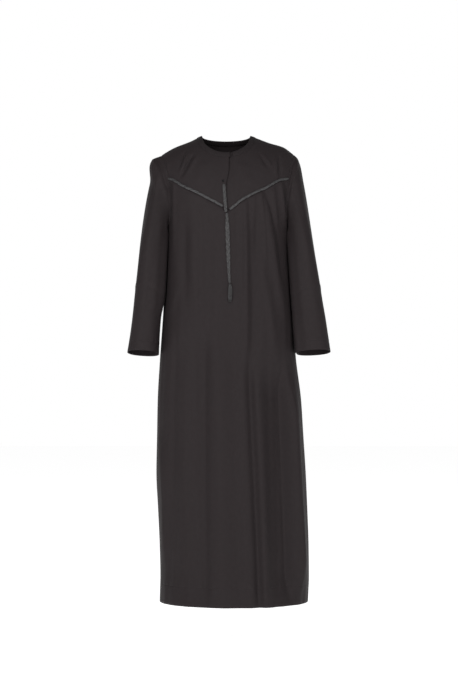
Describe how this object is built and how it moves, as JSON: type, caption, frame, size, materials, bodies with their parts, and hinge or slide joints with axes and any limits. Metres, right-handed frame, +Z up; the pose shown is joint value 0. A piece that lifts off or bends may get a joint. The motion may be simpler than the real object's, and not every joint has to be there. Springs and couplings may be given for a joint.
{
  "type": "thobe",
  "caption": "Ankle-length thobe of dark suiting with a round collarless neck, braided V on the yoke seam, hanging tassel and long straight sleeves, worn and empty.",
  "frame": {"origin": "between the shoulders, level with the sleeve heads, where the wearer carries the garment", "axes": "+Z up, the front faces -Y, +X is the side on the right as seen from the front"},
  "size_m": [0.619, 0.35, 1.4263],
  "materials": {
    "cloth": "smooth twill suiting with a soft sheen",
    "binding": "folded edge band of the same suiting",
    "braid": "flat leaf braid of grey thread",
    "tassel": "plaited grey thread",
    "button": "polished"
  },
  "bodies": {
    "root": {"front_panel": "cloth", "back_panel": "cloth", "yoke_left": "cloth", "yoke_right": "cloth", "sleeve_left": "cloth", "sleeve_right": "cloth", "neck_binding": "binding", "braid_left": "braid", "braid_right": "braid", "braid_stem": "braid", "tassel_plait": "tassel", "tassel_tuft": "tassel", "button": "button"}
  },
  "joints": []
}
